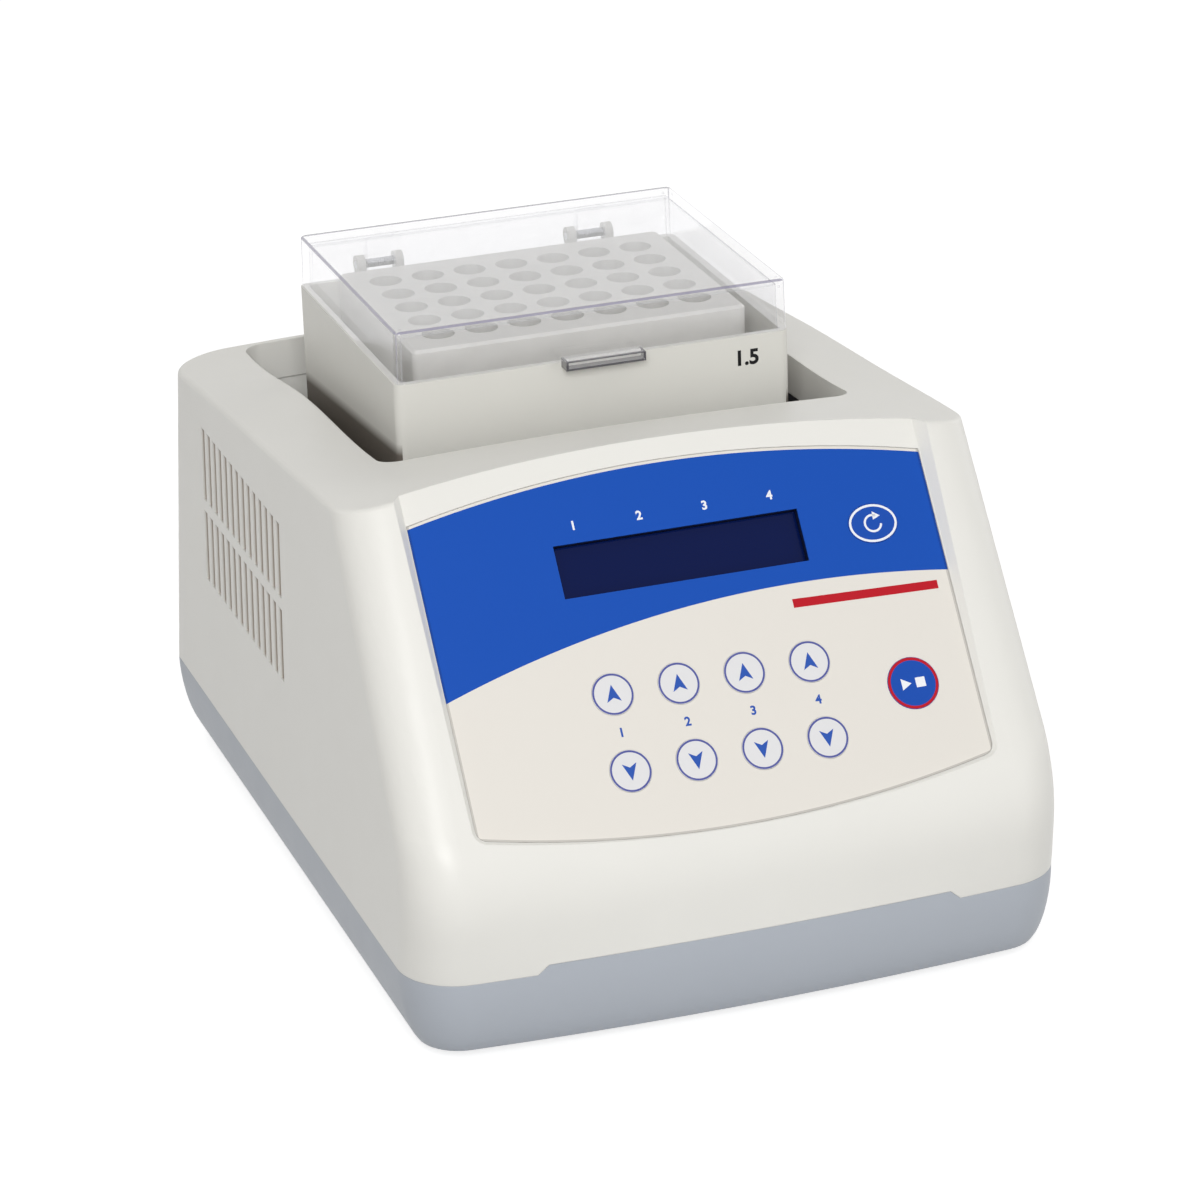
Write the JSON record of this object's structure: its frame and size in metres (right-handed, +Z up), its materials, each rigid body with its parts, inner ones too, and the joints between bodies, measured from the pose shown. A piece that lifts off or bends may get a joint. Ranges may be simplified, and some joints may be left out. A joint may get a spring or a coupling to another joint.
{
  "type": "thermal mixer",
  "caption": "Bench thermal mixer: an orbiting heated tube block under a clear hinged lid, with a sloping key panel and display.",
  "frame": {"origin": "centre of the footprint, on the bench", "axes": "+Z up; +Y to the rear, so the control panel faces -Y; +X to the right seen from the front"},
  "size_m": [0.22, 0.3001, 0.1956],
  "materials": {
    "housing": "moulded, light satin",
    "base_tray": "moulded, fine texture",
    "overlay": "printed polyester film, blue and cream",
    "lens": "tinted clear window",
    "key": "printed film on a moulded cap",
    "lid": "clear acrylic",
    "cover": "moulded, satin",
    "aluminium": "anodised or milled",
    "steel": "turned or plated steel",
    "sheet": "zinc plated sheet",
    "dark_deck": "black powder coat",
    "black_plastic": "moulded black",
    "rubber": "matt rubber",
    "board": "green solder mask",
    "heater": "silicone heater mat",
    "foam": "silicone foam",
    "motor": "coated motor can",
    "brass": "plated brass",
    "glass": "glass tube with metal caps",
    "ribbon": "flat cable"
  },
  "bodies": {
    "base": {"base_tray": "base_tray", "housing": "housing", "recess_liner": "black_plastic", "rubber_feet": "rubber", "foot_screws": "steel", "housing_screws": "steel", "chassis_plate": "sheet", "deck_columns": "steel", "deck_plate": "dark_deck", "frame_screws": "steel", "motor": "motor", "small_screws": "steel", "idler_cups": "aluminium", "idler_lower_bearings": "steel", "panel_overlay": "overlay", "display_lens": "lens", "lcd_module": "black_plastic", "display_board": "board", "key_switches": "black_plastic", "power_supply": "sheet", "main_board": "board", "board_standoffs": "brass", "board_components": "black_plastic", "ribbon_cable": "ribbon", "fan_frame": "black_plastic", "inlet_body": "black_plastic", "inlet_pins": "brass"},
    "crank": {"drive_crank": "steel", "counterweight": "brass"},
    "carriage": {"orbit_plate": "aluminium", "crank_bearing": "steel", "idler_upper_bearings": "steel", "insulation_pad": "foam", "heater_mat": "heater", "heater_plate": "aluminium", "carriage_screws": "steel", "temperature_sensor": "steel", "locating_pins": "steel", "tube_block": "aluminium", "carriage_cover": "cover", "hinge_pins": "steel"},
    "lid": {"lid": "lid"},
    "fan_rotor": {"fan_rotor": "black_plastic"},
    "power_rocker": {"power_rocker": "black_plastic"},
    "fuse_drawer": {"fuse_drawer": "black_plastic", "fuse": "glass"},
    "idler_front_left": {"idler_front_left": "steel"},
    "idler_front_right": {"idler_front_right": "steel"},
    "idler_rear_left": {"idler_rear_left": "steel"},
    "idler_rear_right": {"idler_rear_right": "steel"},
    "key_up_1": {"key_up_1": "key"},
    "key_up_2": {"key_up_2": "key"},
    "key_up_3": {"key_up_3": "key"},
    "key_up_4": {"key_up_4": "key"},
    "key_down_1": {"key_down_1": "key"},
    "key_down_2": {"key_down_2": "key"},
    "key_down_3": {"key_down_3": "key"},
    "key_down_4": {"key_down_4": "key"},
    "key_start_stop": {"key_start_stop": "key"},
    "key_pulse": {"key_pulse": "key"}
  },
  "joints": [
    {"name": "crank_spin", "type": "hinge", "parent": "base", "child": "crank", "pos_m": [0, 0.045, 0.117], "axis": [0, 0, 1], "continuous": true},
    {"name": "carriage_orbit", "type": "hinge", "parent": "crank", "child": "carriage", "pos_m": [0, 0.0465, 0.122], "axis": [0, 0, 1], "continuous": true},
    {"name": "idler_front_left_spin", "type": "hinge", "parent": "base", "child": "idler_front_left", "pos_m": [-0.046, 0.011, 0.117], "axis": [0, 0, 1], "continuous": true},
    {"name": "idler_front_right_spin", "type": "hinge", "parent": "base", "child": "idler_front_right", "pos_m": [0.046, 0.011, 0.117], "axis": [0, 0, 1], "continuous": true},
    {"name": "idler_rear_left_spin", "type": "hinge", "parent": "base", "child": "idler_rear_left", "pos_m": [-0.046, 0.079, 0.117], "axis": [0, 0, 1], "continuous": true},
    {"name": "idler_rear_right_spin", "type": "hinge", "parent": "base", "child": "idler_rear_right", "pos_m": [0.046, 0.079, 0.117], "axis": [0, 0, 1], "continuous": true},
    {"name": "lid_hinge", "type": "hinge", "parent": "carriage", "child": "lid", "pos_m": [0, 0.1076, 0.1806], "axis": [-1, 0, 0], "range_deg": [0, 105]},
    {"name": "key_up_1_press", "type": "slide", "parent": "base", "child": "key_up_1", "axis": [0, 0.7986, -0.6018], "range_m": [0, 0.0004], "stiffness_N_per_m": 1500, "springref_m": -0.0004},
    {"name": "key_up_2_press", "type": "slide", "parent": "base", "child": "key_up_2", "axis": [0, 0.7986, -0.6018], "range_m": [0, 0.0004], "stiffness_N_per_m": 1500, "springref_m": -0.0004},
    {"name": "key_up_3_press", "type": "slide", "parent": "base", "child": "key_up_3", "axis": [0, 0.7986, -0.6018], "range_m": [0, 0.0004], "stiffness_N_per_m": 1500, "springref_m": -0.0004},
    {"name": "key_up_4_press", "type": "slide", "parent": "base", "child": "key_up_4", "axis": [0, 0.7986, -0.6018], "range_m": [0, 0.0004], "stiffness_N_per_m": 1500, "springref_m": -0.0004},
    {"name": "key_down_1_press", "type": "slide", "parent": "base", "child": "key_down_1", "axis": [0, 0.7986, -0.6018], "range_m": [0, 0.0004], "stiffness_N_per_m": 1500, "springref_m": -0.0004},
    {"name": "key_down_2_press", "type": "slide", "parent": "base", "child": "key_down_2", "axis": [0, 0.7986, -0.6018], "range_m": [0, 0.0004], "stiffness_N_per_m": 1500, "springref_m": -0.0004},
    {"name": "key_down_3_press", "type": "slide", "parent": "base", "child": "key_down_3", "axis": [0, 0.7986, -0.6018], "range_m": [0, 0.0004], "stiffness_N_per_m": 1500, "springref_m": -0.0004},
    {"name": "key_down_4_press", "type": "slide", "parent": "base", "child": "key_down_4", "axis": [0, 0.7986, -0.6018], "range_m": [0, 0.0004], "stiffness_N_per_m": 1500, "springref_m": -0.0004},
    {"name": "key_start_stop_press", "type": "slide", "parent": "base", "child": "key_start_stop", "axis": [0, 0.7986, -0.6018], "range_m": [0, 0.0004], "stiffness_N_per_m": 1500, "springref_m": -0.0004},
    {"name": "key_pulse_press", "type": "slide", "parent": "base", "child": "key_pulse", "axis": [0, 0.7986, -0.6018], "range_m": [0, 0.0004], "stiffness_N_per_m": 1500, "springref_m": -0.0004},
    {"name": "fan_spin", "type": "hinge", "parent": "base", "child": "fan_rotor", "pos_m": [0, 0.139, 0.078], "axis": [0, 1, 0], "continuous": true},
    {"name": "rocker_switch", "type": "hinge", "parent": "base", "child": "power_rocker", "pos_m": [-0.068, 0.143, 0.088], "axis": [-1, 0, 0], "range_deg": [0, 18]},
    {"name": "fuse_drawer_slide", "type": "slide", "parent": "base", "child": "fuse_drawer", "axis": [0, 1, 0], "range_m": [0, 0.014]}
  ],
  "couplings": [
    {"joint": "carriage_orbit", "follows": "crank_spin", "ratio": -1},
    {"joint": "idler_front_left_spin", "follows": "crank_spin", "ratio": 1},
    {"joint": "idler_front_right_spin", "follows": "crank_spin", "ratio": 1},
    {"joint": "idler_rear_left_spin", "follows": "crank_spin", "ratio": 1},
    {"joint": "idler_rear_right_spin", "follows": "crank_spin", "ratio": 1}
  ]
}
